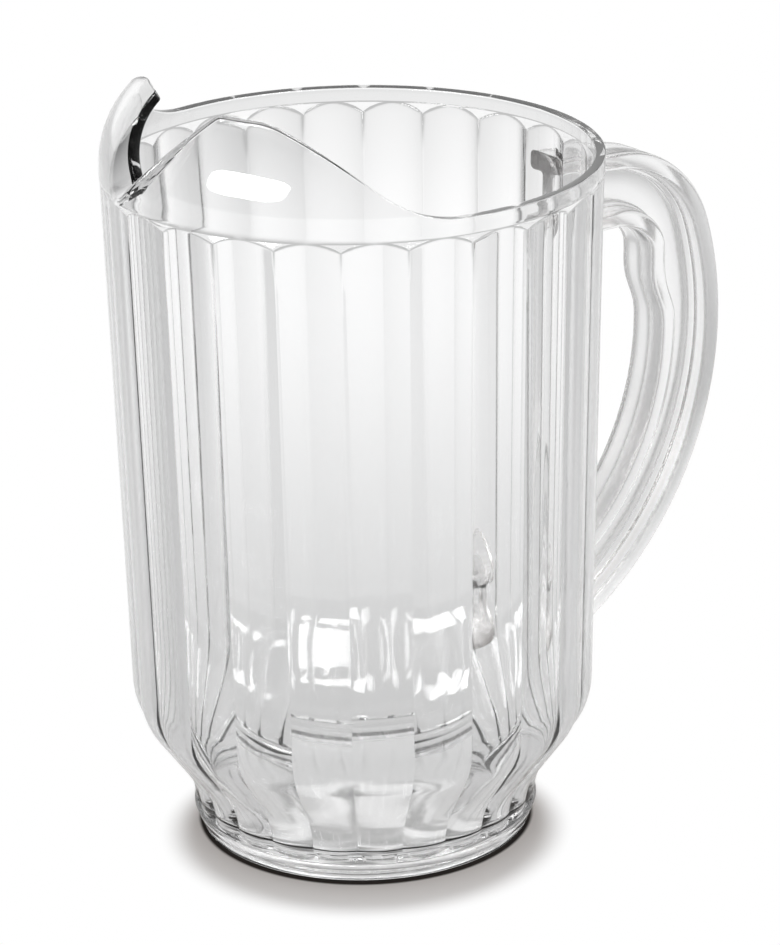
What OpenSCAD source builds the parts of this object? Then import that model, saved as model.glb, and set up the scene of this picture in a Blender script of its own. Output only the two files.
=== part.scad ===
// Clear reeded beer pitcher with a hooded three-way pouring rim and an I-section handle.
// Millimetres, +Z up. The origin is the centre of the foot on the table, the handle points
// to +X and the front pouring slot to -X.

/* [Body] */
// Height of the level part of the rim above the table
rim_h = 192; // [170:1:215]
// Outside radius of the smooth band under the rim
rim_r = 67.2; // [62:0.2:72]
// Thickness of the wall, measured at the crests of the reeds
wall = 2.8; // [2.4:0.1:3.6]
// How far the reeded wall stands back from the band
band_step = 0.6; // [0.4:0.1:1]
// Height of the smooth band below the rim
band_h = 4.5; // [3:0.5:7]
// Height of the slope under the band where the grooves between the reeds run out
band_slope = 2.6; // [2.4:0.1:3.4]

/* [Shoulder and foot] */
// Height where the wall starts to draw in to the foot
shoulder_h = 44; // [40:1:56]
// Outside radius of the wall at that height
shoulder_r = 63.9; // [60:0.1:66]
// Radius of the two bends of the shoulder
shoulder_bend = 23; // [18:0.5:26]
// Outside radius of the neck above the foot ring
neck_r = 47.6; // [44:0.1:50]
// Outside radius of the foot ring on the table
foot_r = 46.2; // [44:0.1:48]
// Outside radius at the top of the foot ring
foot_top_r = 48; // [47:0.1:50]
// Height of the foot ring
foot_h = 6.5; // [5:0.5:9]
// Bevel on the edges of the foot ring
foot_bevel = 0.8; // [0.4:0.1:1.2]
// Width of the land that stands on the table
foot_land = 5.4; // [3:0.2:8]
// Height of the hollow under the floor
recess_h = 3; // [2:0.5:4]
// Height of the inside floor above the table
floor_h = 6.8; // [6:0.2:9]
// Radius between the inside floor and the wall
floor_fillet = 4; // [2:0.5:6]

/* [Reeds] */
// Number of round reeds in the wall
reed_count = 24; // [22:2:28]
// Radius of a reed's round face, at the top
reed_r = 28; // [27:0.2:31]

/* [Hood and pouring slot] */
// Radius of the hood's inward bend
hood_r = 27.5; // [24:0.5:32]
// How far below the rim the hood starts to bend in
hood_start = 1.5; // [0.5:0.5:4]
// Height of the two ears of the hood above the rim
ear_h = 22.5; // [18:0.5:24]
// Rounding of the ears' upper corner
ear_round = 3.5; // [2:0.5:6]
// Distance in front of the axis where the rim leaves its level part
ramp_start = 11.5; // [6:0.5:18]
// Radius of the side pouring lip, where the rim starts to rise
ramp_bend = 34; // [26:1:44]
// Steepest slope of the rim up to the ears, in degrees
ramp_angle = 47; // [40:1:54]
// Height of the slot's lowest point above the rim
slot_floor = 3.3; // [1:0.1:6]
// Half width of the slot between the tips of the ears
slot_half_w = 14.6; // [11:0.2:17]
// Radius of the slot's curved sides
slot_side_r = 56; // [48:1:70]
// Rounding in the bottom of the slot
slot_round = 2.2; // [1:0.2:3]

/* [Pouring lip] */
// How far the lip stands out in front of the hood
lip_reach = 6.6; // [4:0.2:9]
// How steeply the lip's trough runs down, in degrees
lip_tilt = 20; // [10:1:30]
// Thickness of the lip
lip_t = 2.2; // [1.6:0.1:3]
// Half width of the lip's trough
lip_half_w = 9.5; // [8:0.5:12]
// Angle between the two sides of the lip's trough, in degrees
lip_open = 98; // [84:2:110]
// Rounding of the lip's front edge, seen from the side
lip_round = 15.6; // [13:0.2:20]
// How far the middle of that rounding lies below the slot's floor
lip_drop = 1.3; // [0:0.1:3]

/* [Handle] */
// Width of the handle's two flanges
handle_w = 14; // [11:0.5:18]
// Thickness of the web between the flanges
web_t = 4.6; // [3:0.2:7]
// Thickness of each flange
flange_t = 5.2; // [4:0.2:7]
// Distance of the grip's outer face from the axis
handle_reach = 121.7; // [112:0.5:130]
// Depth of the grip's centre below the rim
grip_depth = 68; // [60:1:76]
// Radius of the handle's back
back_r = 98; // [90:1:110]
// Radius of the handle's upper outer corner
crown_r = 41.8; // [34:0.5:48]
// Depth of the handle's top below the rim, at the band
top_depth = 7.8; // [7:0.1:12]
// Fall of the handle's top away from the wall, in degrees
top_fall = 12.8; // [6:0.2:18]
// Thickness of the grip from its inner to its outer face
grip_t = 21; // [18:0.5:25]
// Depth of the upper root's underside below the rim
under_depth = 36; // [33:0.5:40]
// Radius of the finger opening's upper corner
finger_corner = 13; // [9:0.5:16]
// Radius of the finger rest on the grip's inner face
rest_r = 25; // [18:1:34]
// How far the finger rest stands into the opening
rest_out = 2.3; // [1:0.1:4]
// Depth of the finger rest below the rim
rest_depth = 54; // [50:1:60]
// Bond line between the handle's feet and the reed that they sit on
bond_gap = 0.15; // [0.1:0.05:0.3]

/* [Hidden] */
$fn = 240;

// Overrun of every cut past the surface that it opens
over = 2;
// How far the reeded wall reaches into the foot ring and into the band
tuck = 1.5;
// How far the neck's upright end lies below the top of the foot ring
neck_sink = 0.6;

clear_tint = [0.86, 0.88, 0.9, 0.45];

reed_step = 360 / reed_count;
// Radius and height of the reeded wall's upper end
wall_top_r = rim_r - band_step;
wall_top_h = rim_h - band_h;
// Distance of a reed's own axis from the pitcher's axis
reed_axis = wall_top_r - reed_r;
// Radius of the plain core that the reeds stand round
core_r = (reed_axis + neck_r) / 2;

// Centres of the shoulder's two bends, and the direction of the slope between them
bend_in = [shoulder_r - shoulder_bend, shoulder_h];
bend_out = [neck_r + shoulder_bend, foot_h - neck_sink];
bend_gap = bend_in - bend_out;
slope_turn = asin(2 * shoulder_bend / norm(bend_gap)) + atan2(bend_gap[0], bend_gap[1]);
// Steps in which each bend of the shoulder is turned, and each side lip's bend
bend_steps = 6;
ramp_steps = 10;

// Centre of the hood's bend in the half section
hood_c = [rim_r - hood_r, rim_h - hood_start];
ear_top = rim_h + ear_h;

// Outside radius of the reeded wall, at its crests, at height z
function wall_at(z) = shoulder_r + (wall_top_r - shoulder_r) * (z - shoulder_h) / (wall_top_h - shoulder_h);

// Outside radius of the hood at height z
function hood_at(z) = hood_c[0] + sqrt(hood_r * hood_r - (z - hood_c[1]) * (z - hood_c[1]));

// Points along an arc about the point c, from the angle a to the angle b, in n steps
function arc(c, r, a, b, n) =
    [for (i = [0 : n]) c + r * [cos(a + (b - a) * i / n), sin(a + (b - a) * i / n)]];

// Outline of the wall and shoulder from the height low to the height top, drawn in by inset
function wall_line(inset, low, top) = concat(
    [[neck_r - inset, low]],
    arc(bend_out, shoulder_bend + inset, 180, 180 - slope_turn, bend_steps),
    arc(bend_in, shoulder_bend - inset, -slope_turn, 0, bend_steps),
    [[wall_at(top) - inset, top]]
);

module wall_section(inset, low, top) {
    polygon(concat([[0, low]], wall_line(inset, low, top), [[0, top]]));
}

// One reed: a solid turned about its own axis inside the wall, in the direction at, with
// pointed ends. Spare lets it grow, so the same shape seats the handle.
module reed(spare, at) {
    low = foot_h - tuck;
    top = wall_top_h + tuck;
    line = [for (p = wall_line(-spare, low, top)) [p[0] - reed_axis, p[1]]];
    translate(reed_axis * [cos(at), sin(at), 0])
        rotate_extrude() polygon(concat([[0, low - tuck / 2]], line, [[0, top + tuck]]));
}

// A plain core with its first reeds, joined one after the other
module reeded_wall(reeds) {
    if (reeds == 0)
        translate([0, 0, foot_h - tuck / 2]) cylinder(r = core_r, h = wall_top_h - foot_h);
    else
        union() {
            reeded_wall(reeds - 1);
            reed(0, reeds * reed_step);
        }
}

// Band and hood as one solid of revolution, before it is hollowed and cut
module band_and_hood() {
    low = wall_top_h - band_slope;
    rotate_extrude() {
        polygon([
            [0, low],
            [rim_r - band_slope, low],
            [rim_r, wall_top_h],
            [rim_r, hood_c[1]],
            hood_c,
            [hood_c[0], ear_top],
            [0, ear_top]
        ]);
        intersection() {
            translate(hood_c) circle(hood_r);
            translate(hood_c) square([hood_r, ear_top - hood_c[1]]);
        }
    }
}

module foot_ring() {
    rotate_extrude()
        polygon([
            [0, 0],
            [foot_r - foot_bevel, 0],
            [foot_r, foot_bevel],
            [foot_top_r, foot_h - foot_bevel],
            [foot_top_r - foot_bevel, foot_h],
            [0, foot_h]
        ]);
}

// Everything that is hollow inside the pitcher
module inside() {
    rotate_extrude() {
        difference() {
            intersection() {
                wall_section(wall, foot_h, wall_top_h);
                translate([0, floor_h]) square([rim_r, rim_h]);
            }
            translate([neck_r - wall - floor_fillet, floor_h])
                difference() {
                    square([2 * floor_fillet, floor_fillet]);
                    translate([0, floor_fillet]) circle(floor_fillet);
                }
        }
        polygon([
            [0, wall_top_h],
            [wall_at(wall_top_h) - wall, wall_top_h],
            [rim_r - wall, hood_c[1]],
            hood_c,
            [hood_c[0], ear_top + over],
            [0, ear_top + over]
        ]);
        intersection() {
            translate(hood_c) circle(hood_r - wall);
            translate(hood_c) square([hood_r, hood_r]);
        }
    }
}

module foot_recess() {
    recess_r = foot_r - foot_land;
    translate([0, 0, -over]) cylinder(r1 = recess_r + over, r2 = recess_r - recess_h, h = recess_h + over);
}

// What the level rim, the two side lips and the rising edges of the ears leave out, seen
// from the side, with the front to the right
module rim_side_cut() {
    rise_end = [ramp_start + ramp_bend * sin(ramp_angle), rim_h + ramp_bend * (1 - cos(ramp_angle))];
    tip = [rise_end[0] + (ear_top - rise_end[1]) / tan(ramp_angle), ear_top];
    far = rim_r + over;
    high = ear_top + over;
    // Middle of the ears' rounding, which touches the rising edge and the top
    round_c = tip + [ear_round * tan(ramp_angle / 2), -ear_round];
    polygon(concat(
        [[-far, high], [-far, rim_h]],
        arc([ramp_start, rim_h + ramp_bend], ramp_bend, 270, 270 + ramp_angle, ramp_steps),
        arc(round_c, ear_round, 90 + ramp_angle, 90, bend_steps),
        [[far, ear_top], [far, high]]
    ));
}

// The front slot, seen from the front: two curved sides that meet in a rounded floor
module slot_front() {
    // The sides are arcs through the slot's floor and through the ears' tips
    chord = [slot_half_w, ear_h - slot_floor];
    half = norm(chord) / 2;
    reach = sqrt(slot_side_r * slot_side_r - half * half);
    side_c = chord / 2 + reach * [-chord[1], chord[0]] / norm(chord);
    translate([0, rim_h + slot_floor]) {
        intersection() {
            translate([side_c[0], side_c[1]]) circle(slot_side_r);
            translate([-side_c[0], side_c[1]]) circle(slot_side_r);
            translate([-slot_side_r, 0]) square([2 * slot_side_r, ear_h + over]);
        }
        translate([0, slot_round]) circle(slot_round);
    }
}

// The trough of the pouring lip, as a bent strip seen along the pour
module lip_section() {
    rise = lip_half_w / tan(lip_open / 2);
    // Depth of the strip, measured upright
    deep = lip_t / sin(lip_open / 2);
    polygon([
        [0, 0],
        [lip_half_w, rise],
        [lip_half_w, rise - deep],
        [0, -deep],
        [-lip_half_w, rise - deep],
        [-lip_half_w, rise]
    ]);
}

module pouring_lip() {
    floor_z = rim_h + slot_floor;
    front = hood_at(floor_z);
    intersection() {
        translate([front, 0, floor_z])
            rotate([0, lip_tilt, 0])
                rotate([90, 0, 90])
                    translate([0, 0, -lip_half_w])
                        linear_extrude(lip_half_w + 2 * lip_reach) lip_section();
        translate([front + lip_reach - lip_round, 0, floor_z - lip_drop])
            rotate([90, 0, 0]) cylinder(r = lip_round, h = 2 * (lip_half_w + over), center = true);
    }
}

// Turns a shape drawn with the front to +X round to the pitcher's front
module to_front() {
    rotate([0, 0, 180]) children();
}

module filled_body() {
    reeded_wall(reed_count);
    foot_ring();
    band_and_hood();
    to_front() pouring_lip();
}

module hollow_body() {
    difference() {
        filled_body();
        inside();
        foot_recess();
    }
}

module rimmed_body() {
    difference() {
        hollow_body();
        to_front()
            rotate([90, 0, 0])
                linear_extrude(2 * (rim_r + over), center = true) rim_side_cut();
    }
}

module body() {
    color(clear_tint)
        difference() {
            rimmed_body();
            to_front()
                rotate([90, 0, 90])
                    linear_extrude(rim_r + 2 * lip_reach) slot_front();
        }
}

// A bow that closes the handle's loop: a wide arc for the back, a corner arc that touches it,
// and a straight top that falls away from the wall. Top_z is the top's depth at the band.
module bow(wide_r, corner_r, top_z, fall) {
    wide_c = [handle_reach - back_r, -grip_depth];
    along = [cos(fall), -sin(fall)];
    up = [sin(fall), cos(fall)];
    start = [rim_r, -top_z] - corner_r * up - wide_c;
    // Distance along the top where the corner touches both the top and the wide arc
    lead = start * along;
    run = -lead + sqrt(lead * lead - start * start + (wide_r - corner_r) * (wide_r - corner_r));
    corner_c = wide_c + start + run * along;
    out = (corner_c - wide_c) / norm(corner_c - wide_c);
    intersection() {
        translate(wide_c) circle(wide_r);
        polygon([
            wide_c,
            wide_c + 2 * wide_r * out,
            wide_c + [2 * wide_r, -2 * wide_r],
            wide_c + [0, -2 * wide_r]
        ]);
    }
    translate(corner_c) circle(corner_r);
    polygon([
        wide_c,
        corner_c,
        corner_c + corner_r * up,
        [rim_r, -top_z],
        [wide_c[0], -top_z]
    ]);
}

// Outline of the whole handle, less the finger opening, from the side
module handle_outline(inset) {
    difference() {
        bow(back_r - inset, crown_r - inset, top_depth + inset / cos(top_fall), top_fall);
        bow(back_r - grip_t + inset, finger_corner + inset, under_depth - inset, 0);
    }
}

module finger_rest() {
    inner = handle_reach - back_r
        + sqrt(pow(back_r - grip_t, 2) - pow(rest_depth - grip_depth, 2));
    intersection() {
        translate([inner - rest_out + rest_r, -rest_depth]) circle(rest_r);
        bow(back_r - flange_t, crown_r - flange_t, top_depth + flange_t, top_fall);
    }
}

// The room on the far side of the wall, where a longer bow may not come out again
module past_the_wall() {
    near = shoulder_r - 2 * wall;
    translate([near - 2 * rim_r, -handle_w, -rim_h]) cube([2 * rim_r, 2 * handle_w, 2 * rim_h]);
}

module handle() {
    pocket = (handle_w - web_t) / 2;
    color(clear_tint)
        difference() {
            translate([0, 0, rim_h])
                rotate([90, 0, 0])
                    difference() {
                        linear_extrude(handle_w, center = true) {
                            handle_outline(0);
                            finger_rest();
                        }
                        for (side = [-1, 1])
                            translate([0, 0, side * (web_t + pocket + over) / 2])
                                linear_extrude(pocket + over, center = true) handle_outline(flange_t);
                    }
            reed(bond_gap, 0);
            past_the_wall();
        }
}

body();
handle();
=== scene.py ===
import math

import bmesh
import bpy
from bpy.props import FloatProperty, FloatVectorProperty, IntProperty, PointerProperty
from mathutils import Matrix, Vector


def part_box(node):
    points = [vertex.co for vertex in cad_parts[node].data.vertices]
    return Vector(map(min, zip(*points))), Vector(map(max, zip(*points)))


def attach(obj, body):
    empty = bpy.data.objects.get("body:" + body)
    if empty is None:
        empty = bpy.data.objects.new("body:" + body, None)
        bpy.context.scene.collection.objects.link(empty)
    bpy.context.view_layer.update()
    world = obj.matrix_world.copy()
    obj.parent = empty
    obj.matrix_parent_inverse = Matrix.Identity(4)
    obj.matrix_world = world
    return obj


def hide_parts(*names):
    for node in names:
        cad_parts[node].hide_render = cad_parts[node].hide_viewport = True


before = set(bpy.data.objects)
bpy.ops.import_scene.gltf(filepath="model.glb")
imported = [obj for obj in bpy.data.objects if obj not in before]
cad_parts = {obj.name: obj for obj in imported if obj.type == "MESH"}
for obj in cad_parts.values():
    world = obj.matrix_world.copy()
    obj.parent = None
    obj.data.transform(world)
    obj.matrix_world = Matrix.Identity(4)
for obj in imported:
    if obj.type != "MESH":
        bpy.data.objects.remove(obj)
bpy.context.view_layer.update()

bl_info = {
    "name": "Reeded Pitcher",
    "version": (1, 0, 0),
    "blender": (4, 5, 0),
    "location": "3D View > Sidebar > Pitcher",
    "description": "Builds a clear reeded beer pitcher with a hooded pouring rim and an I-section handle",
    "category": "Add Mesh",
}

# The box of the solids that the pieces are built around
BODY_LOW, BODY_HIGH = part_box("body")
HANDLE_LOW, HANDLE_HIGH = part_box("handle")

# The photograph's frame, in pixels
IMAGE_W = 780
IMAGE_H = 945

# Trial points and even spacing with which the rim's edge is worked out
EDGE_TRIALS = 3000
EDGE_SPACING = 0.0001


def length(name, text, default):
    """A size in metres that the sidebar shows as a length."""
    return FloatProperty(name=name, description=text, default=default, unit="LENGTH", precision=4)


def angle(name, text, degrees):
    """An angle that the sidebar shows in degrees."""
    return FloatProperty(name=name, description=text, default=math.radians(degrees), subtype="ANGLE")


class BodySizes(bpy.types.PropertyGroup):
    """Sizes of the moulded body"""

    rim_h: length("Rim height", "Height of the level part of the rim", 0.192)
    rim_r: length("Rim radius", "Outside radius of the smooth band", BODY_HIGH[0])
    wall: length("Wall", "Thickness of the wall at the reeds' crests", 0.0028)
    band_step: length("Band step", "How far the wall stands back from the band", 0.0001)
    band_h: length("Band height", "Height of the smooth band below the rim", 0.0045)
    run_out: length("Run-out", "Height over which the grooves run out under the band", 0.003)
    shoulder_h: length("Shoulder height", "Where the wall starts to draw in", 0.044)
    shoulder_r: length("Shoulder radius", "Outside radius at the shoulder", 0.0639)
    shoulder_bend: length("Shoulder bend", "Radius of the shoulder's two bends", 0.023)
    neck_r: length("Neck radius", "Outside radius above the foot ring", 0.0476)
    foot_r: length("Foot radius", "Outside radius of the foot on the table", 0.0462)
    foot_top_r: length("Foot top radius", "Outside radius at the top of the foot ring", 0.048)
    foot_h: length("Foot height", "Height of the foot ring", 0.0065)
    foot_round: length("Foot rounding", "Rounding of the foot ring's edges", 0.0009)
    foot_land: length("Foot land", "Width of the land on the table", 0.0054)
    recess_h: length("Recess height", "Height of the hollow under the floor", 0.003)
    floor_h: length("Floor height", "Height of the inside floor", 0.0068)
    floor_fillet: length("Floor fillet", "Radius between the floor and the wall", 0.004)
    reed_count: IntProperty(name="Reeds", description="Number of reeds round the wall", default=24, min=3)
    reed_r: length("Reed radius", "Radius of a reed's round face at the top", 0.02)
    hood_r: length("Hood radius", "Radius of the hood's inward bend", 0.0275)
    hood_start: length("Hood start", "How far below the rim the hood bends in", 0.0015)
    ear_h: length("Ear height", "Height of the ears above the rim", BODY_HIGH[2] - 0.192)
    ear_round: length("Ear rounding", "Rounding of the ears' upper corner", 0.0035)
    ramp_start: length("Ramp start", "Where the rim leaves its level part", 0.012)
    ramp_bend: length("Ramp bend", "Radius of the side pouring lips", 0.0285)
    ramp_angle: angle("Ramp angle", "Steepest slope of the rising rim", 47.5)
    slot_floor: length("Slot floor", "Height of the slot's lowest point above the rim", 0.0033)
    slot_half_w: length("Slot half width", "Half width between the ears' tips", 0.0146)
    slot_side_r: length("Slot side radius", "Radius of the slot's curved sides", 0.056)
    slot_round: length("Slot rounding", "Rounding in the bottom of the slot", 0.0022)
    edge_round: length("Edge rounding", "Rounding of the rim's edges", 0.0003)
    lip_reach: length("Lip reach", "How far the pouring lip stands out", 0.0066)
    lip_t: length("Lip thickness", "Thickness of the pouring lip", 0.0022)
    lip_tilt: angle("Lip tilt", "How steeply the lip's trough runs down", 20.0)
    lip_top: length("Lip top", "Height above the rim where the lip runs out on the slot's sides", 0.0172)
    corner_round: length("Corner rounding", "Rounding between the slot's sides and the ears' tops", 0.0013)
    columns: IntProperty(name="Columns", description="Mesh columns in each reed", default=20, min=8)
    front_columns: IntProperty(
        name="Front columns", description="Mesh columns in each of the reeds under the slot", default=48, min=8)


class HandleSizes(bpy.types.PropertyGroup):
    """Sizes of the loop handle"""

    width: length("Width", "Width of the flanges", HANDLE_HIGH[1] - HANDLE_LOW[1])
    web_t: length("Web", "Thickness of the web", 0.0046)
    flange_t: length("Flange", "Thickness of each flange", 0.0052)
    edge_round: length("Edge rounding", "Rounding of the flanges' edges", 0.0013)
    root_round: length("Web rounding", "Rounding where the web meets a flange", 0.0012)
    reach: length("Reach", "Distance of the outer face from the axis", HANDLE_HIGH[0])
    grip_depth: length("Grip depth", "Depth of the grip's centre below the rim", 0.068)
    back_r: length("Back radius", "Radius of the handle's back", 0.098)
    crown_r: length("Crown radius", "Radius of the upper outer corner", 0.036)
    top_depth: length("Top depth", "Depth of the top below the rim, at the band", 0.013)
    top_fall: angle("Top fall", "Fall of the top away from the wall", 4.0)
    grip_t: length("Grip thickness", "From the inner to the outer face", 0.021)
    under_depth: length("Underside depth", "Depth of the upper root's underside", 0.036)
    finger_corner: length("Finger corner", "Radius of the opening's upper corner", 0.013)
    rest_out: length("Finger rest", "How far the finger rest stands in", 0.0023)
    rest_depth: length("Finger rest depth", "Depth of the finger rest below the rim", 0.054)
    rest_half: length("Finger rest length", "Half length of the finger rest", 0.012)
    bond_gap: length("Bond gap", "Bond line between the handle and the wall", 0.00015)


class FinishSettings(bpy.types.PropertyGroup):
    """Colours and finish of the clear plastic"""

    tint: FloatVectorProperty(
        name="Tint", description="Colour of the clear plastic", subtype="COLOR",
        default=(0.985, 0.986, 0.987), min=0.0, max=1.0)
    shade: FloatVectorProperty(
        name="Shade", description="Light that one face lets through to the floor", subtype="COLOR",
        default=(0.66, 0.63, 0.61), min=0.0, max=1.0)
    roughness: FloatProperty(name="Roughness", description="Roughness of the clear plastic", default=0.03)
    ior: FloatProperty(name="Refraction", description="Index of refraction", default=1.57)
    handle_tint: FloatVectorProperty(
        name="Handle tint", description="Colour of the handle's plastic", subtype="COLOR",
        default=(0.95, 0.951, 0.952), min=0.0, max=1.0)
    handle_roughness: FloatProperty(
        name="Handle roughness", description="Roughness of the handle, which hands have dulled", default=0.2)


class StageSettings(bpy.types.PropertyGroup):
    """Camera, floor and light"""

    camera_distance: length("Camera distance", "Distance from the body's middle", 1.1)
    camera_height: angle("Camera elevation", "Angle above the table", 21.04)
    camera_turn: angle("Camera turn", "Turn of the pitcher seen from the camera", 34.6)
    camera_roll: angle("Camera roll", "Lean of the camera", 1.2)
    aim_h: length("Aim height", "Height on the axis that the camera aims at", 0.095)
    aim_x: FloatProperty(name="Aim across", description="Aim point in the image, in pixels", default=359.2)
    aim_y: FloatProperty(name="Aim down", description="Aim point in the image, in pixels", default=493.5)
    lens: FloatProperty(name="Lens", description="Focal length in millimetres", default=153.2)
    floor_size: length("Floor size", "Length of the floor's sides", 6.0)
    floor_tone: FloatVectorProperty(
        name="Floor", description="Colour of the floor", subtype="COLOR", default=(0.831, 0.831, 0.831))
    # Painted contact shadow: a thin dark line painted on the floor round the foot, shifted towards the camera.
    contact_shadow_w: length("Contact line", "Width of the dark line round the foot", 0.0012)
    contact_shadow_front: length("Contact front", "How far the dark line lies towards the camera", 0.0015)
    contact_shadow_tone: FloatVectorProperty(
        name="Contact", description="Colour of the dark line round the foot", subtype="COLOR",
        default=(0.04, 0.036, 0.034))
    # The shadow near the foot is lit; its fade to white and where it lies are painted by a mask.
    shadow_from: length("Shadow from", "Distance from the axis where the shadow starts to fade out", 0.047)
    shadow_to: length("Shadow to", "Distance from the axis where the floor is plain white", 0.058)
    shadow_front: length("Shadow front", "How far the shadow lies towards the camera", 0.012)
    # Painted light: the floor seen through the plastic glows with these colours, brightest behind the pitcher
    # and dimmer far away.
    painted_glow_tone: FloatVectorProperty(
        name="Glow", description="Colour of the floor behind the pitcher, seen through the plastic",
        subtype="COLOR", default=(1.08, 1.08, 1.08))
    painted_dim_tone: FloatVectorProperty(
        name="Floor dim", description="Colour of the floor's far parts, seen through the plastic",
        subtype="COLOR", default=(0.56, 0.56, 0.56))
    glow_distance: length("Glow distance", "How far behind the pitcher the floor is brightest", 0.5)
    glow_side: length("Glow side", "How far to the right the floor is brightest", 0.02)
    glow_across: length("Glow width", "Half width of the bright place on the floor", 0.39)
    glow_deep: length("Glow depth", "Half depth of the bright place on the floor", 0.58)
    # Painted light: light and dark spots painted on the floor under the foot, in place of the light the reeds
    # throw.
    painted_dapple: FloatProperty(name="Dapple", description="Contrast of the light spots under the foot", default=0.45)
    painted_dapple_size: length("Dapple size", "Size of the light spots under the foot", 0.012)
    top_level: FloatProperty(name="Top light", description="Strength of the light from above", default=2.66)
    front_level: FloatProperty(name="Front level", description="Brightness of the camera's side", default=0.08)
    dark_from: FloatProperty(name="Dark from", description="Where the studio starts to darken", default=-0.8)
    dark_to: FloatProperty(name="Dark to", description="Where the studio is dark", default=0.2)
    left_level: FloatProperty(name="Left level", description="Brightness of the left softbox", default=14.0)
    pair_level: FloatProperty(name="Pair level", description="Brightness of the right softboxes", default=16.0)
    softbox_distance: length("Softbox distance", "Distance of the softboxes", 1.4)
    left_turn: angle("Left turn", "Turn of the left softbox from the camera", -50.0)
    left_height: angle("Left elevation", "Elevation of the left softbox", 26.0)
    left_width: length("Left width", "Width of the left softbox", 0.9)
    left_tall: length("Left height", "Height of the left softbox", 0.55)
    right_turn: angle("Right turn", "Turn of the right softboxes from the camera", 45.0)
    pair_height: angle("Pair elevation", "Elevation of the middle of the right softboxes", 40.0)
    pair_part: angle("Pair parting", "Half the angle between the right softboxes", 7.0)
    pair_width: length("Pair width", "Width of each right softbox", 0.9)
    pair_tall: length("Pair height", "Height of each right softbox", 0.2)


class PitcherSettings(bpy.types.PropertyGroup):
    """All settings of the pitcher"""

    body: PointerProperty(type=BodySizes)
    handle: PointerProperty(type=HandleSizes)
    finish: PointerProperty(type=FinishSettings)
    stage: PointerProperty(type=StageSettings)


def settings():
    return bpy.context.scene.reeded_pitcher


def solve(falls_short, low, high):
    """The place between low and high where falls_short turns from true to false."""
    for _ in range(40):
        middle = (low + high) / 2
        if falls_short(middle):
            low = middle
        else:
            high = middle
    return (low + high) / 2


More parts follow.
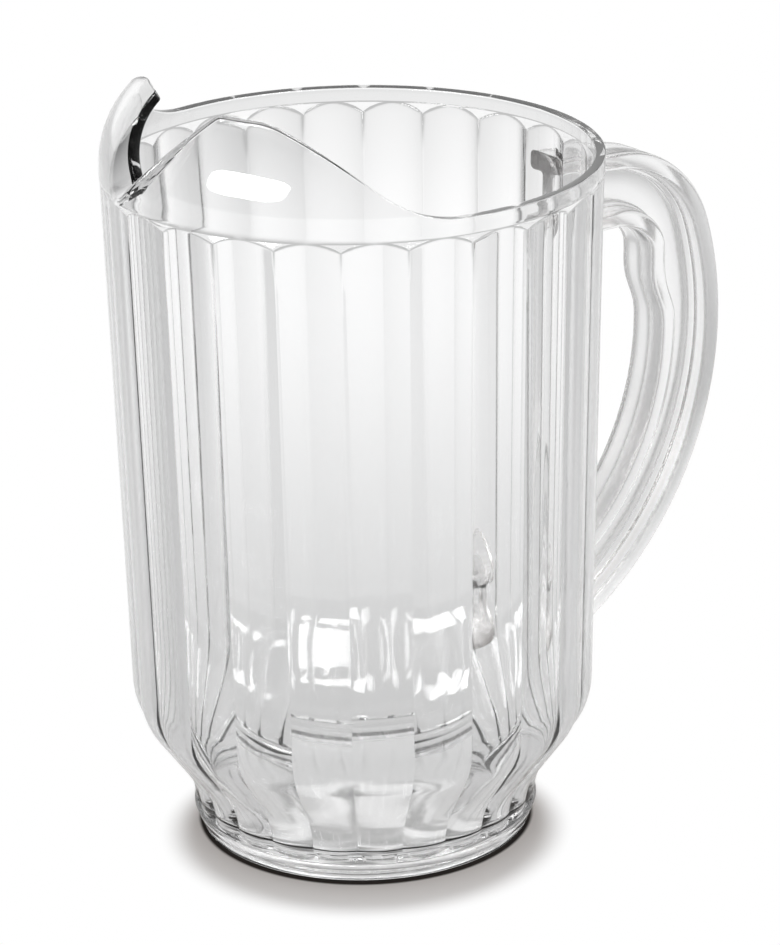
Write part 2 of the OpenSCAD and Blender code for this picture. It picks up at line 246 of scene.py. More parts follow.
class BodyForm:
    """The body's curves, worked out from its sizes. Heights are from the table, in metres."""

    def __init__(self, s):
        self.s = s
        self.wall_top_h = s.rim_h - s.band_h
        self.wall_top_r = s.rim_r - s.band_step
        self.hood_c = Vector((s.rim_r - s.hood_r, s.rim_h - s.hood_start))
        self.bend_in = Vector((s.shoulder_r - s.shoulder_bend, s.shoulder_h))
        self.bend_out = Vector((s.neck_r + s.shoulder_bend, s.foot_h))
        gap = self.bend_in - self.bend_out
        self.turn = math.asin(2 * s.shoulder_bend / gap.length) + math.atan2(gap.x, gap.y)
        self.make_ramp()
        self.make_slot()
        self.make_edge()

    def make_ramp(self):
        s = self.s
        rise = s.ramp_bend * (1 - math.cos(s.ramp_angle))
        self.rise_end = Vector((s.ramp_start + s.ramp_bend * math.sin(s.ramp_angle), rise))
        tip_m = self.rise_end.x + (s.ear_h - rise) / math.tan(s.ramp_angle)
        self.tip_c = Vector((tip_m + s.ear_round * math.tan(s.ramp_angle / 2), s.ear_h - s.ear_round))
        self.tip_low_m = self.tip_c.x - s.ear_round * math.sin(s.ramp_angle)

    def make_slot(self):
        s = self.s
        chord = Vector((s.slot_half_w, s.ear_h - s.slot_floor))
        reach = math.sqrt(s.slot_side_r ** 2 - (chord.length / 2) ** 2)
        self.slot_c = chord / 2 + reach * Vector((-chord.y, chord.x)) / chord.length

    def crest(self, z, inset=0.0):
        """Outside radius of the wall and shoulder on top of the reeds, drawn in by inset."""
        s = self.s
        low = self.bend_out.y + (s.shoulder_bend + inset) * math.sin(self.turn)
        high = self.bend_in.y - (s.shoulder_bend - inset) * math.sin(self.turn)
        if z <= self.bend_out.y:
            return s.neck_r - inset
        if z < low:
            return self.bend_out.x - math.sqrt((s.shoulder_bend + inset) ** 2 - (z - self.bend_out.y) ** 2)
        if z < high:
            foot = self.bend_out.x - (s.shoulder_bend + inset) * math.cos(self.turn)
            return foot + (z - low) * math.tan(self.turn)
        if z < s.shoulder_h:
            return self.bend_in.x + math.sqrt((s.shoulder_bend - inset) ** 2 - (s.shoulder_h - z) ** 2)
        rise = (z - s.shoulder_h) / (self.wall_top_h - s.shoulder_h)
        return s.shoulder_r + (self.wall_top_r - s.shoulder_r) * rise - inset

    def reed(self, z, turn):
        """Outside radius of the reeds at a height and an angle from a reed's middle."""
        off = math.remainder(turn, 2 * math.pi / self.s.reed_count)
        axis = self.wall_top_r - self.s.reed_r
        across = axis * math.sin(off)
        face = axis * math.cos(off) + math.sqrt(self.s.reed_r ** 2 - across ** 2)
        return face * self.crest(z) / self.wall_top_r

    def reeded_wall(self, z, turn):
        """The reeded wall, with a slope of one in two where the grooves run out under the band."""
        slope = self.s.rim_r - (self.wall_top_h - z) / 2
        return min(self.s.rim_r, max(self.reed(z, turn), slope))

    def hood(self, z, inset=0.0):
        """Radius of the band and hood at a height, drawn in by inset."""
        if z <= self.hood_c.y:
            return self.s.rim_r - inset
        r = self.s.hood_r - inset
        return self.hood_c.x + math.sqrt(max(0.0, r * r - (z - self.hood_c.y) ** 2))

    def ramp(self, m):
        """Height of the rim above its level part, m in front of the axis, seen from the side."""
        s = self.s
        if m <= s.ramp_start:
            return 0.0
        if m < self.rise_end.x:
            return s.ramp_bend - math.sqrt(s.ramp_bend ** 2 - (m - s.ramp_start) ** 2)
        if m < self.tip_low_m:
            return self.rise_end.y + (m - self.rise_end.x) * math.tan(s.ramp_angle)
        if m < self.tip_c.x:
            return self.tip_c.y + math.sqrt(s.ear_round ** 2 - (m - self.tip_c.x) ** 2)
        return s.ear_h

    def slot(self, up):
        """Half width of the slot at a height above the rim, seen from the front."""
        s = self.s
        rise = up - s.slot_floor
        if rise <= 0:
            return 0.0
        side = self.slot_c.x + math.sqrt(max(0.0, s.slot_side_r ** 2 - (rise - self.slot_c.y) ** 2))
        bottom = math.sqrt(max(0.0, s.slot_round ** 2 - (rise - s.slot_round) ** 2))
        return max(side, bottom)

    def stays(self, z, turn):
        """Whether the hood still has material at a height, at an angle from the front."""
        r = self.hood(z)
        up = z - self.s.rim_h
        open_slot = math.cos(turn) > 0 and abs(r * math.sin(turn)) < self.slot(up)
        return up < self.ramp(r * math.cos(turn)) and not open_slot

    def rim_top(self, turn):
        """Height of the rim's edge at an angle from the front."""
        s = self.s
        return solve(lambda z: z < s.rim_h or self.stays(z, turn), s.rim_h, s.rim_h + s.ear_h)

    def make_edge(self):
        """The rising part of the rim's outer edge, as evenly spaced points from the front to one side."""
        s = self.s
        self.level_turn = math.acos(s.ramp_start / s.rim_r)
        turns = [self.level_turn * (i / EDGE_TRIALS) ** 1.5 for i in range(EDGE_TRIALS + 1)]
        trials = [self.on_hood(turn, self.rim_top(turn)) for turn in turns]
        even = [trials[0]]
        for trial in trials[1:]:
            while (trial - even[-1]).length > EDGE_SPACING:
                even.append(even[-1] + (trial - even[-1]).normalized() * EDGE_SPACING)
        reach = round(s.corner_round / EDGE_SPACING)
        self.edge_points = []
        for i in range(len(even)):
            near = [self.mirrored(even, k) for k in range(i - reach, i + reach + 1)]
            mean = sum(near, Vector((0.0, 0.0, 0.0))) / len(near)
            self.edge_points.append(self.on_hood(math.atan2(mean.y, -mean.x), mean.z))

    @staticmethod
    def mirrored(points, index):
        """A point of the edge, which goes on past the front as its own mirror image."""
        point = points[min(abs(index), len(points) - 1)]
        return Vector((point.x, -point.y, point.z)) if index < 0 else point

    def on_hood(self, turn, z, inset=0.0):
        """The point of the hood at an angle from the front and a height."""
        r = self.hood(z, inset)
        return Vector((-r * math.cos(turn), r * math.sin(turn), z))

    def edge(self, turn):
        """Point and direction of the rim's edge for the column that starts at an angle from the front."""
        if abs(turn) >= self.level_turn:
            along = Vector((math.sin(turn), math.cos(turn), 0.0))
            return self.on_hood(turn, self.s.rim_h), along
        place = turn / self.level_turn * (len(self.edge_points) - 1)
        low = math.floor(place)
        first, last = self.mirrored(self.edge_points, low), self.mirrored(self.edge_points, low + 1)
        before, after = self.mirrored(self.edge_points, low - 1), self.mirrored(self.edge_points, low + 2)
        return first.lerp(last, place - low), (after - before).normalized()

    def normal(self, at):
        """Outward normal of the hood at a point on it."""
        turn = math.atan2(at.y, at.x)
        lean = max(0.0, at.z - self.hood_c.y) / self.s.hood_r
        flat = math.sqrt(1 - lean * lean)
        return Vector((flat * math.cos(turn), flat * math.sin(turn), lean))

    def lip_share(self, z):
        """Share of the pouring lip's reach at a height of the slot's edge."""
        rise = (z - self.s.rim_h - self.s.slot_floor) / (self.s.lip_top - self.s.slot_floor)
        return math.sqrt(max(0.0, 1 - max(0.0, rise) ** 1.5))


def spread(low, high, count):
    """Evenly spaced values from low to high, both included."""
    return [low + (high - low) * i / (count - 1) for i in range(count)]


def body_rows(form):
    """The rows of the body's section, from the middle of its underside to that of its inside floor."""
    s = form.s
    recess_r = s.foot_r - s.foot_land
    rows = [("ring", (0.0, s.recess_h)), ("ring", (recess_r * 0.5, s.recess_h))]
    rows += [("ring", (recess_r - 2 * s.recess_h, s.recess_h)), ("ring", (recess_r - s.recess_h, s.recess_h))]
    rows += [("ring", (recess_r - s.recess_h * 0.5, s.recess_h * 0.5))]
    rows += [("ring", (recess_r, 0.0)), ("ring", (s.foot_r - s.foot_land / 2, 0.0))]
    for a in spread(-90, 0, 5):
        a = math.radians(a)
        low = (s.foot_r - s.foot_round + s.foot_round * math.cos(a), s.foot_round + s.foot_round * math.sin(a))
        rows.append(("ring", low))
    for a in spread(0, 90, 5):
        a = math.radians(a)
        high = (s.foot_top_r - s.foot_round + s.foot_round * math.cos(a),
                s.foot_h - s.foot_round + s.foot_round * math.sin(a))
        rows.append(("ring", high))
    slope_low = form.bend_out.y + s.shoulder_bend * math.sin(form.turn)
    slope_high = form.bend_in.y - s.shoulder_bend * math.sin(form.turn)
    bends = spread(s.foot_h, slope_low, 9) + spread(slope_low, slope_high, 4)[1:]
    bends += spread(slope_high, s.shoulder_h, 9)[1:]
    wall_end = form.wall_top_h - s.run_out
    walls = spread(s.shoulder_h, wall_end, 14)[1:] + spread(wall_end, form.wall_top_h, 11)[1:]
    rows += [("wall", z) for z in bends + walls]
    rows += [("hood", share) for share in spread(0.0, 1.0, 16)[1:]]
    rows += [("under", None)]
    rows += [("outer_edge", a) for a in spread(0, 90, 5)]
    rows += [("trough", None)]
    rows += [("inner_edge", a) for a in spread(90, 0, 5)]
    rows += [("inner_hood", share) for share in spread(1.0, 0.0, 16)]
    fillet_top = s.floor_h + s.floor_fillet
    inner = spread(s.shoulder_h, wall_end, 12)[::-1] + bends[:-1][::-1]
    rows += [("inner", z) for z in inner if z > fillet_top]
    for a in spread(0, -90, 6):
        rows.append(("fillet", a))
    inside_r = s.neck_r - s.wall
    rows += [("ring", (inside_r * share, s.floor_h)) for share in (0.8, 0.55, 0.28, 0.0)]
    return rows


class BodySection:
    """One column of the body: where each row of the section lies at an angle from the front."""

    def __init__(self, form, turn):
        self.form = form
        self.turn = turn
        s = form.s
        self.outer, along = form.edge(turn)
        self.out = form.normal(self.outer)
        self.down = self.out.cross(along).normalized()
        self.inner = self.outer - self.out * s.wall
        rising = abs(turn) < form.level_turn and abs(self.outer.y) < s.slot_half_w
        self.lip = form.lip_share(self.outer.z) if rising else 0.0
        tilt = s.lip_tilt
        self.pour = Vector((-math.cos(tilt), 0.0, -math.sin(tilt))) * (s.lip_reach * self.lip)
        self.under = s.edge_round * 1.2 + (s.lip_t - s.edge_round * 1.2) * self.lip
        self.hood_end = self.outer + self.down * (self.under + s.edge_round * 0.6)
        self.inner_end = self.inner + self.down * (s.edge_round * 1.6)

    def climb(self, end, share, inset):
        """A point of the hood on the way from the band to the end of the column."""
        low = self.form.wall_top_h
        end_turn = math.atan2(end.y, -end.x)
        if abs(end_turn - self.turn) > math.pi:
            end_turn = self.turn
        turn = self.turn + (end_turn - self.turn) * share
        return self.form.on_hood(turn, low + (end.z - low) * share, inset)

    def level(self, r, z):
        """A point at a radius and a height."""
        return Vector((-r * math.cos(self.turn), r * math.sin(self.turn), z))

    def point(self, row):
        """The row's place in space."""
        kind, value = row
        form, s = self.form, self.form.s
        if kind == "ring":
            return self.level(*value)
        if kind == "wall":
            return self.level(form.reeded_wall(value, self.turn), value)
        if kind == "hood":
            return self.climb(self.hood_end, value, 0.0)
        if kind == "under":
            return self.outer + self.down * self.under + self.pour
        if kind == "outer_edge":
            a = math.radians(value)
            corner = self.down * (1 - math.sin(a)) - self.out * (1 - math.cos(a))
            return self.outer + s.edge_round * corner + self.pour
        if kind == "trough":
            return self.outer - self.out * (s.edge_round * 1.15)
        if kind == "inner_edge":
            a = math.radians(value)
            corner = self.down * (1 - math.sin(a)) + self.out * (1 - math.cos(a))
            return self.inner + s.edge_round * corner
        if kind == "inner_hood":
            return self.climb(self.inner_end, value, s.wall)
        if kind == "inner":
            return self.level(form.crest(value, s.wall), value)
        a = math.radians(value)
        fillet_z = s.floor_h + s.floor_fillet
        fillet_r = form.crest(fillet_z, s.wall) - s.floor_fillet
        return self.level(fillet_r + s.floor_fillet * math.cos(a), fillet_z + s.floor_fillet * math.sin(a))


def column_turns(s):
    """Angles from the front of the body's columns, closer together towards the grooves and the front."""
    pitch = 2 * math.pi / s.reed_count
    turns = []
    for k in range(s.reed_count):
        centre = pitch * k - math.pi
        ahead = abs(math.remainder(centre, 2 * math.pi)) / pitch
        count = s.front_columns if ahead < 2.5 else s.columns
        turns += [centre + pitch / 2 * math.sin(math.pi * (i / count - 0.5)) for i in range(count)]
    return turns


def finish_mesh(bm, name, material, body="root", node=None):
    """Makes a closed, smooth-shaded piece of the bmesh, riding on a body and standing for a node."""
    bmesh.ops.remove_doubles(bm, verts=bm.verts, dist=1e-6)
    bmesh.ops.recalc_face_normals(bm, faces=bm.faces)
    for face in bm.faces:
        face.smooth = True
    mesh = bpy.data.meshes.new(name)
    bm.to_mesh(mesh)
    bm.free()
    mesh.materials.append(material)
    piece = bpy.data.objects.new(name, mesh)
    bpy.context.scene.collection.objects.link(piece)
    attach(piece, body)
    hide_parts(node)
    return piece


def clear_plastic(name, tint, roughness):
    """Clear plastic that throws only a light shadow."""
    look = settings().finish
    material = bpy.data.materials.new(name)
    material.use_nodes = True
    nodes, links = material.node_tree.nodes, material.node_tree.links
    shader = nodes["Principled BSDF"]
    shader.inputs["Base Color"].default_value = (*tint, 1.0)
    shader.inputs["Roughness"].default_value = roughness
    shader.inputs["IOR"].default_value = look.ior
    shader.inputs["Transmission Weight"].default_value = 1.0
    through = nodes.new("ShaderNodeBsdfTransparent")
    through.inputs["Color"].default_value = (*look.shade, 1.0)
    path = nodes.new("ShaderNodeLightPath")
    lit = nodes.new("ShaderNodeMath")
    lit.operation = "MAXIMUM"
    links.new(path.outputs["Is Shadow Ray"], lit.inputs[0])
    links.new(path.outputs["Is Diffuse Ray"], lit.inputs[1])
    mix = nodes.new("ShaderNodeMixShader")
    links.new(lit.outputs["Value"], mix.inputs["Fac"])
    links.new(shader.outputs["BSDF"], mix.inputs[1])
    links.new(through.outputs["BSDF"], mix.inputs[2])
    links.new(mix.outputs["Shader"], nodes["Material Output"].inputs["Surface"])
    return material


class PITCHER_OT_body(bpy.types.Operator):
    """Roll up the reeded body, with its hood, slot and lip"""

    bl_idname = "pitcher.body"
    bl_label = "Body"

    def execute(self, context):
        sizes = settings().body
        form = BodyForm(sizes)
        rows = body_rows(form)
        turns = column_turns(sizes)
        columns = [BodySection(form, turn) for turn in turns]
        bm = bmesh.new()
        bmesh.ops.create_grid(bm, x_segments=len(turns), y_segments=len(rows) - 1, size=0.5)
        for vert in bm.verts:
            column = round((vert.co.x + 0.5) * len(turns)) % len(turns)
            row = round((vert.co.y + 0.5) * (len(rows) - 1))
            vert.co = columns[column].point(rows[row])
        look = settings().finish
        finish_mesh(bm, "pitcher_body", clear_plastic("clear plastic", look.tint, look.roughness), node="body")
        return {"FINISHED"}


def arc_points(centre, radius, start, end, count):
    """Points along an arc in a plane, with angles in radians."""
    return [centre + radius * Vector((math.cos(a), math.sin(a))) for a in spread(start, end, count)]


class HandleForm:
    """The handle's outer and inner contours, seen from the side, from the upper to the lower root."""

    LINE, CORNER, BACK = 12, 20, 40

    def __init__(self, s, body):
        self.s = s
        self.body = body
        self.wide_c = Vector((s.reach - s.back_r, body.s.rim_h - s.grip_depth))

    def contour(self, wide_r, corner_r, top_depth, fall):
        """Points along a straight top, the corner that touches it, and the wide back."""
        rim = self.body.s
        along = Vector((math.cos(fall), -math.sin(fall)))
        up = Vector((math.sin(fall), math.cos(fall)))
        top = Vector((rim.rim_r, rim.rim_h - top_depth))
        start = top - corner_r * up - self.wide_c
        lead = start.dot(along)
        run = -lead + math.sqrt(lead ** 2 - start.dot(start) + (wide_r - corner_r) ** 2)
        corner_c = self.wide_c + start + run * along
        touch = corner_c - self.wide_c
        touch_angle = math.atan2(touch.y, touch.x)
        first = corner_c + corner_r * up
        inside = top - along * rim.wall * 2
        line = [inside + (first - inside) * i / (self.LINE - 1) for i in range(self.LINE)]
        corner = arc_points(corner_c, corner_r, math.pi / 2 - fall, touch_angle, self.CORNER)
        lowest = -math.acos((rim.shoulder_r - rim.wall - self.wide_c.x) / wide_r)
        back = arc_points(self.wide_c, wide_r, touch_angle, lowest, self.BACK)
        return line + corner[1:] + back[1:]

    def outer(self):
        s = self.s
        return self.contour(s.back_r, s.crown_r, s.top_depth, s.top_fall)

    def inner(self):
        s, rim_h = self.s, self.body.s.rim_h
        points = self.contour(s.back_r - s.grip_t, s.finger_corner, s.under_depth, 0.0)
        for point in points:
            if point.x > s.reach - s.grip_t - s.finger_corner:
                off = (rim_h - point.y - s.rest_depth) / s.rest_half
                if abs(off) < 1:
                    point.x -= s.rest_out * (0.5 + 0.5 * math.cos(math.pi * off))
        return points


def rounded(corners, steps):
    """Points round a closed outline whose corners (point, radius) are rounded."""
    points = []
    count = len(corners)
    for i, (here, radius) in enumerate(corners):
        before = (corners[i - 1][0] - here).normalized()
        after = (corners[(i + 1) % count][0] - here).normalized()
        for k in range(steps + 1):
            a = math.pi / 2 * k / steps
            points.append(here + radius * ((1 - math.sin(a)) * before + (1 - math.cos(a)) * after))
    return points


class PITCHER_OT_handle(bpy.types.Operator):
    """Sweep the I-section along the handle's loop and seat its ends on the wall"""

    bl_idname = "pitcher.handle"
    bl_label = "Handle"

    def execute(self, context):
        sizes = settings().handle
        body = BodyForm(settings().body)
        form = HandleForm(sizes, body)
        bm = bmesh.new()
        ring = None
        for outer, inner in zip(form.outer(), form.inner()):
            places = self.section(sizes, outer, inner)
            if ring is None:
                verts = [bm.verts.new(place) for place in places]
                ring = [bm.edges.new((a, b)) for a, b in zip(verts, verts[1:] + verts[:1])]
                continue
            grown = bmesh.ops.extrude_edge_only(bm, edges=ring)["geom"]
            fresh = [g for g in grown if isinstance(g, bmesh.types.BMVert)]
            ring = [g for g in grown if isinstance(g, bmesh.types.BMEdge)
                    and all(v in fresh for v in g.verts)]
            for vert, place in zip(fresh, places):
                vert.co = place
        self.seat(bm, body, sizes)
        bmesh.ops.holes_fill(bm, edges=[e for e in bm.edges if e.is_boundary], sides=0)
        look = settings().finish
        satin = clear_plastic("satin plastic", look.handle_tint, look.handle_roughness)
        finish_mesh(bm, "pitcher_handle", satin, node="handle")
        return {"FINISHED"}

    def section(self, s, outer, inner):
        """The I-section between a point on the outer and a point on the inner contour."""
        depth = (inner - outer).length
        half, web = s.width / 2, s.web_t / 2
        flange = s.flange_t
        edge, root = s.edge_round, s.root_round
        side = [
            (Vector((half, 0.0)), edge),
            (Vector((half, flange)), edge),
            (Vector((web, flange)), root),
            (Vector((web, depth - flange)), root),
            (Vector((half, depth - flange)), edge),
            (Vector((half, depth)), edge),
        ]
        other = [(Vector((-p.x, p.y)), radius) for p, radius in reversed(side)]
        across = (inner - outer).normalized()
        places = []
        for p in rounded(side + other, 4):
            at = outer + across * p.y
            places.append(Vector((at.x, p.x, at.y)))
        return places

    def seat(self, bm, body, s):
        """Stops every point that would enter the wall at the reed that the handle sits on."""
        for vert in bm.verts:
            x, y, z = vert.co
            wall_r = body.reed(z, math.atan2(y, x)) + s.bond_gap
            wall_x = math.sqrt(wall_r ** 2 - y ** 2)
            vert.co.x = max(x, wall_x)


class PITCHER_OT_stage(bpy.types.Operator):
    """Set the floor, the light and the camera"""

    bl_idname = "pitcher.stage"
    bl_label = "Stage"

    def execute(self, context):
        self.camera(context.scene)
        self.floor(context.scene)
        self.softboxes(context.scene)
        self.world(context.scene)
        self.view(context.scene)
        return {"FINISHED"}

    def camera(self, scene):
        """The photograph's camera, with its aim point shifted to its place in the image."""
        s = settings().stage
        data = bpy.data.cameras.new("camera")
        data.lens = s.lens
        data.clip_end = 50.0
        data.shift_x = (IMAGE_W / 2 - s.aim_x) / max(IMAGE_W, IMAGE_H)
        data.shift_y = (s.aim_y - IMAGE_H / 2) / max(IMAGE_W, IMAGE_H)
        camera = bpy.data.objects.new("camera", data)
        scene.collection.objects.link(camera)
        flat = s.camera_distance * math.cos(s.camera_height)
        place = Vector((-flat * math.sin(s.camera_turn), -flat * math.cos(s.camera_turn), 0.0))
        place.z = s.aim_h + s.camera_distance * math.sin(s.camera_height)
        turn = Matrix.Rotation(-s.camera_turn, 4, "Z") @ Matrix.Rotation(math.pi / 2 - s.camera_height, 4, "X")
        lean = Matrix.Rotation(-s.camera_roll, 4, "Z")
        camera.matrix_world = Matrix.Translation(place) @ turn @ lean
        scene.camera = camera

    def floor(self, scene):
        s = settings().stage
        bm = bmesh.new()
        bmesh.ops.create_grid(bm, x_segments=1, y_segments=1, size=s.floor_size / 2)
        mesh = bpy.data.meshes.new("floor")
        bm.to_mesh(mesh)
        bm.free()
        mesh.materials.append(self.floor_material())
        floor = bpy.data.objects.new("floor", mesh)
        scene.collection.objects.link(floor)

    def floor_material(self):
        """White floor with a shadow at the foot, lit inside and painted at its fade to white and its dark edge
        line, which shows a painted grey gradient of light through the plastic.
        """
        s = settings().stage
        material = bpy.data.materials.new("white floor")
        material.use_nodes = True
        nodes, links = material.node_tree.nodes, material.node_tree.links
        lit = nodes["Principled BSDF"]
        links.new(self.painted_contact_shadow(nodes, links), lit.inputs["Base Color"])
        lit.inputs["Roughness"].default_value = 0.9
        lit.inputs["Specular IOR Level"].default_value = 0.0
        white = nodes.new("ShaderNodeEmission")
        path = nodes.new("ShaderNodeLightPath")
        # Painted mask: beyond it the camera sees plain white, so the shadow's outer fade and place are painted.
        shadow = self.front() * s.shadow_front
        clear = self.fade(nodes, links, shadow, s.shadow_to, s.shadow_to, s.shadow_from / s.shadow_to)
        direct = nodes.new("ShaderNodeMath")
        direct.operation = "MULTIPLY"
        links.new(path.outputs["Is Camera Ray"], direct.inputs[0])
        links.new(clear, direct.inputs[1])
        open_floor = nodes.new("ShaderNodeMixShader")
        links.new(direct.outputs["Value"], open_floor.inputs["Fac"])
        links.new(lit.outputs["BSDF"], open_floor.inputs[1])
        links.new(white.outputs["Emission"], open_floor.inputs[2])
        seen = nodes.new("ShaderNodeMixShader")
        links.new(path.outputs["Is Transmission Ray"], seen.inputs["Fac"])
        links.new(open_floor.outputs["Shader"], seen.inputs[1])
        links.new(self.through_plastic(nodes, links), seen.inputs[2])
        links.new(seen.outputs["Shader"], nodes["Material Output"].inputs["Surface"])
        return material

    def painted_contact_shadow(self, nodes, links):
        """Socket with the floor's colour, with a painted contact shadow: a dark line along the edge of the
        foot.
        """
        s = settings().stage
        foot_r = settings().body.foot_r
        ring_r = foot_r + s.contact_shadow_w
        close = self.front() * s.contact_shadow_front
        # Painted shadow: the floor's colour turns dark in a thin ring at the foot's edge.
        line = nodes.new("ShaderNodeMix")
        line.data_type = "RGBA"
        links.new(self.fade(nodes, links, close, ring_r, ring_r, foot_r / ring_r), line.inputs["Factor"])
        line.inputs["A"].default_value = (*s.contact_shadow_tone, 1.0)
        line.inputs["B"].default_value = (*s.floor_tone, 1.0)
        return line.outputs["Result"]

    def through_plastic(self, nodes, links):
        """Socket with the floor as it shows through the plastic: a painted pool of light, brightest behind the
        pitcher and dimmer far away.
        """
        s = settings().stage
        grey = nodes.new("ShaderNodeMix")
        grey.data_type = "RGBA"
        glow = self.right() * s.glow_side - self.front() * s.glow_distance
        links.new(self.fade(nodes, links, glow, s.glow_across, s.glow_deep), grey.inputs["Factor"])
        grey.inputs["A"].default_value = (*s.painted_glow_tone, 1.0)
        grey.inputs["B"].default_value = (*s.painted_dim_tone, 1.0)
        # The floor seen through the plastic is an emission, so this gradient is painted light.
        behind = nodes.new("ShaderNodeEmission")
        links.new(grey.outputs["Result"], behind.inputs["Color"])
        links.new(self.painted_dapple(nodes, links), behind.inputs["Strength"])
        return behind.outputs["Emission"]

    def painted_dapple(self, nodes, links):
        """Socket with painted light and dark spots on the floor under the foot, standing in for the light that
        the reeds throw.
        """
        s = settings().stage
        place = nodes.new("ShaderNodeTexCoord")
        spots = nodes.new("ShaderNodeTexNoise")
        spots.inputs["Scale"].default_value = 1 / s.painted_dapple_size
        spots.inputs["Detail"].default_value = 1.0
        links.new(place.outputs["Object"], spots.inputs["Vector"])
        level = nodes.new("ShaderNodeMapRange")
        level.interpolation_type = "SMOOTHSTEP"
        links.new(spots.outputs["Fac"], level.inputs["Value"])
        level.inputs["From Min"].default_value = 0.4
        level.inputs["From Max"].default_value = 0.62
        level.inputs["To Min"].default_value = 1 - s.painted_dapple
        level.inputs["To Max"].default_value = 1 + s.painted_dapple
        plain = nodes.new("ShaderNodeMix")
        reach = settings().body.neck_r
        near = self.front() * reach * 0.5
        links.new(self.fade(nodes, links, near, reach, reach * 0.6, 0.7), plain.inputs["Factor"])
        links.new(level.outputs["Result"], plain.inputs["A"])
        plain.inputs["B"].default_value = 1.0
        return plain.outputs["Result"]

    def fade(self, nodes, links, centre, across, deep, inner=0.0):
        """Socket that goes from zero to one towards the edge of an ellipse on the floor."""
        place = nodes.new("ShaderNodeTexCoord")
        ellipse = nodes.new("ShaderNodeMapping")
        ellipse.vector_type = "TEXTURE"
        ellipse.inputs["Location"].default_value = centre
        ellipse.inputs["Rotation"].default_value = (0.0, 0.0, -settings().stage.camera_turn)
        ellipse.inputs["Scale"].default_value = (across, deep, 1.0)
        links.new(place.outputs["Object"], ellipse.inputs["Vector"])
        away = nodes.new("ShaderNodeVectorMath")
        away.operation = "LENGTH"
        links.new(ellipse.outputs["Vector"], away.inputs[0])
        fade = nodes.new("ShaderNodeMapRange")
        fade.interpolation_type = "SMOOTHSTEP"
        links.new(away.outputs["Value"], fade.inputs["Value"])
        fade.inputs["From Min"].default_value = inner
        return fade.outputs["Result"]

    @staticmethod
    def front():
        """Level direction from the pitcher to the camera."""
        turn = settings().stage.camera_turn
        return Vector((-math.sin(turn), -math.cos(turn), 0.0))

    @staticmethod
    def right():
        """Level direction to the right, seen from the camera."""
        turn = settings().stage.camera_turn
        return Vector((math.cos(turn), -math.sin(turn), 0.0))

    def glow(self, name, level):
        """A plain glowing material."""
        material = bpy.data.materials.new(name)
        material.use_nodes = True
        nodes, links = material.node_tree.nodes, material.node_tree.links
        lamp = nodes.new("ShaderNodeEmission")
        lamp.inputs["Strength"].default_value = level
        links.new(lamp.outputs["Emission"], nodes["Material Output"].inputs["Surface"])
        return material

    @staticmethod
    def panel_mesh(name, width, tall):
        """A flat panel: a circle that is squared off towards its corners."""
        bm = bmesh.new()
        bmesh.ops.create_circle(bm, cap_ends=True, segments=64, radius=1.0)
        for vert in bm.verts:
            x, y = vert.co.x, vert.co.y
            square = (x ** 4 + y ** 4) ** -0.25
            vert.co = Vector((x * square * width / 2, y * square * tall / 2, 0.0))
        mesh = bpy.data.meshes.new(name)
        bm.to_mesh(mesh)
        bm.free()
        return mesh

    def softboxes(self, scene):
        """Glowing panels with rounded corners beside the camera."""
        s = settings().stage
        upper, lower = s.pair_height + s.pair_part, s.pair_height - s.pair_part
        for name, turn, height, width, tall, level in (
                ("softbox left", s.left_turn, s.left_height, s.left_width, s.left_tall, s.left_level),
                ("softbox upper right", s.right_turn, upper, s.pair_width, s.pair_tall, s.pair_level),
                ("softbox lower right", s.right_turn, lower, s.pair_width, s.pair_tall, s.pair_level)):
            mesh = self.panel_mesh(name, width, tall)
            mesh.materials.append(self.glow(name, level))
            panel = bpy.data.objects.new(name, mesh)
            panel.visible_diffuse = False
            panel.visible_shadow = False
            scene.collection.objects.link(panel)
            towards = Matrix.Rotation(turn, 3, "Z") @ self.front()
            towards = towards * math.cos(height) + Vector((0.0, 0.0, math.sin(height)))
            panel.location = towards * s.softbox_distance + Vector((0.0, 0.0, s.aim_h))
            panel.rotation_euler = towards.to_track_quat("Z", "Y").to_euler()

    def world(self, scene):
        """White for the camera, a studio with a dark front for the plastic, soft top light for the floor."""
        s = settings().stage
        world = bpy.data.worlds.new("studio")
        world.use_nodes = True
        scene.world = world
        nodes, links = world.node_tree.nodes, world.node_tree.links
        out = nodes["World Output"]
        top_light = nodes["Background"]
        way = nodes.new("ShaderNodeTexCoord")
        ahead = nodes.new("ShaderNodeVectorMath")
        ahead.operation = "DOT_PRODUCT"
        links.new(way.outputs["Generated"], ahead.inputs[0])
        ahead.inputs[1].default_value = self.front()
        dark = nodes.new("ShaderNodeMapRange")
        dark.interpolation_type = "SMOOTHSTEP"
        links.new(ahead.outputs["Value"], dark.inputs["Value"])
        dark.inputs["From Min"].default_value = s.dark_from
        dark.inputs["From Max"].default_value = s.dark_to
        dark.inputs["To Min"].default_value = 1.0
        dark.inputs["To Max"].default_value = s.front_level
        studio = nodes.new("ShaderNodeBackground")
        links.new(dark.outputs["Result"], studio.inputs["Strength"])
        rise = nodes.new("ShaderNodeSeparateXYZ")
        links.new(way.outputs["Generated"], rise.inputs["Vector"])
        steep = nodes.new("ShaderNodeMath")
        steep.operation = "POWER"
        steep.use_clamp = True
        links.new(rise.outputs["Z"], steep.inputs[0])
        steep.inputs[1].default_value = 3.0
        level = nodes.new("ShaderNodeMath")
        level.operation = "MULTIPLY"
        links.new(steep.outputs["Value"], level.inputs[0])
        level.inputs[1].default_value = s.top_level
        links.new(level.outputs["Value"], top_light.inputs["Strength"])
        top_light.inputs["Color"].default_value = (1.0, 1.0, 1.0, 1.0)
        studio.inputs["Color"].default_value = (1.0, 1.0, 1.0, 1.0)
        white = nodes.new("ShaderNodeBackground")
        white.inputs["Color"].default_value = (1.0, 1.0, 1.0, 1.0)
        path = nodes.new("ShaderNodeLightPath")
        clear = nodes.new("ShaderNodeMath")
        clear.operation = "MAXIMUM"
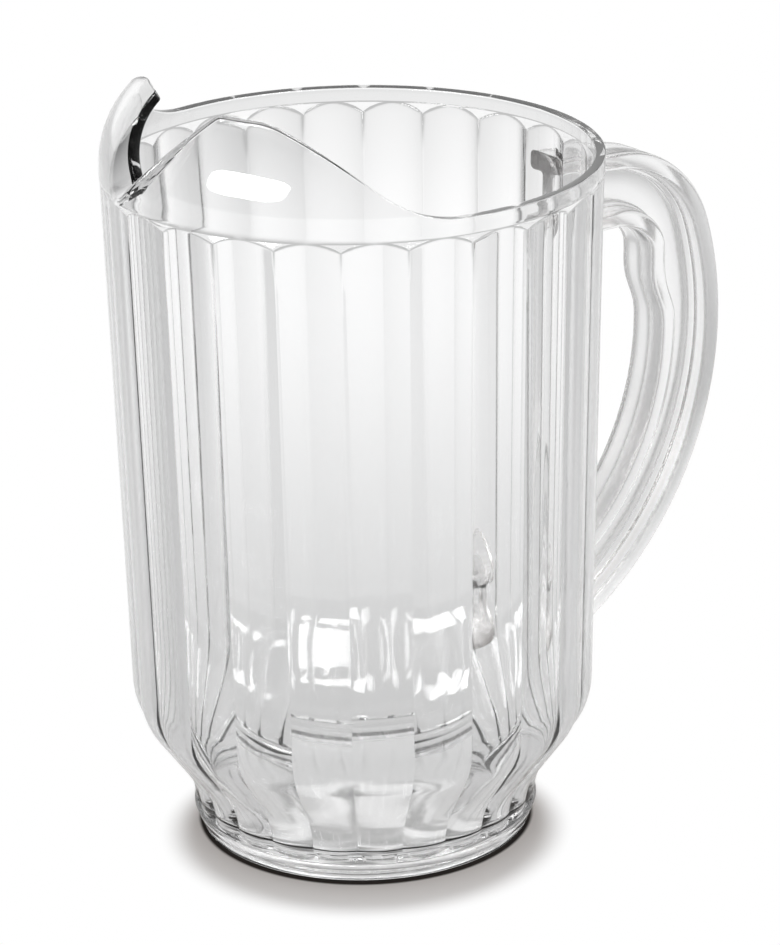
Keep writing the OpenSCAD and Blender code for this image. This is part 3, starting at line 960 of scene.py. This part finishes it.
        links.new(path.outputs["Is Glossy Ray"], clear.inputs[0])
        links.new(path.outputs["Is Transmission Ray"], clear.inputs[1])
        seen = nodes.new("ShaderNodeMixShader")
        links.new(clear.outputs["Value"], seen.inputs["Fac"])
        links.new(top_light.outputs["Background"], seen.inputs[1])
        links.new(studio.outputs["Background"], seen.inputs[2])
        view = nodes.new("ShaderNodeMixShader")
        links.new(path.outputs["Is Camera Ray"], view.inputs["Fac"])
        links.new(seen.outputs["Shader"], view.inputs[1])
        links.new(white.outputs["Background"], view.inputs[2])
        links.new(view.outputs["Shader"], out.inputs["Surface"])

    def view(self, scene):
        """Plain colours, and light paths long enough for two walls and the handle."""
        scene.view_settings.view_transform = "Standard"
        scene.cycles.max_bounces = 12
        scene.cycles.transmission_bounces = 12
        scene.cycles.glossy_bounces = 8
        scene.cycles.transparent_max_bounces = 24


class PITCHER_PT_panel(bpy.types.Panel):
    """The pitcher's pieces and sizes"""

    bl_label = "Reeded Pitcher"
    bl_idname = "PITCHER_PT_panel"
    bl_space_type = "VIEW_3D"
    bl_region_type = "UI"
    bl_category = "Pitcher"

    def draw(self, context):
        layout = self.layout
        for operator in (PITCHER_OT_body, PITCHER_OT_handle, PITCHER_OT_stage):
            layout.operator(operator.bl_idname)
        groups = context.scene.reeded_pitcher
        for group in (groups.body, groups.handle, groups.finish, groups.stage):
            box = layout.box()
            for name in group.__annotations__:
                box.prop(group, name)


CLASSES = (
    BodySizes, HandleSizes, FinishSettings, StageSettings, PitcherSettings,
    PITCHER_OT_body, PITCHER_OT_handle, PITCHER_OT_stage, PITCHER_PT_panel,
)


def register():
    for cls in CLASSES:
        bpy.utils.register_class(cls)
    bpy.types.Scene.reeded_pitcher = PointerProperty(type=PitcherSettings)


def unregister():
    del bpy.types.Scene.reeded_pitcher
    for cls in reversed(CLASSES):
        bpy.utils.unregister_class(cls)


def main():
    register()
    bpy.ops.pitcher.body()
    bpy.ops.pitcher.handle()
    bpy.ops.pitcher.stage()


if __name__ == "__main__":
    main()
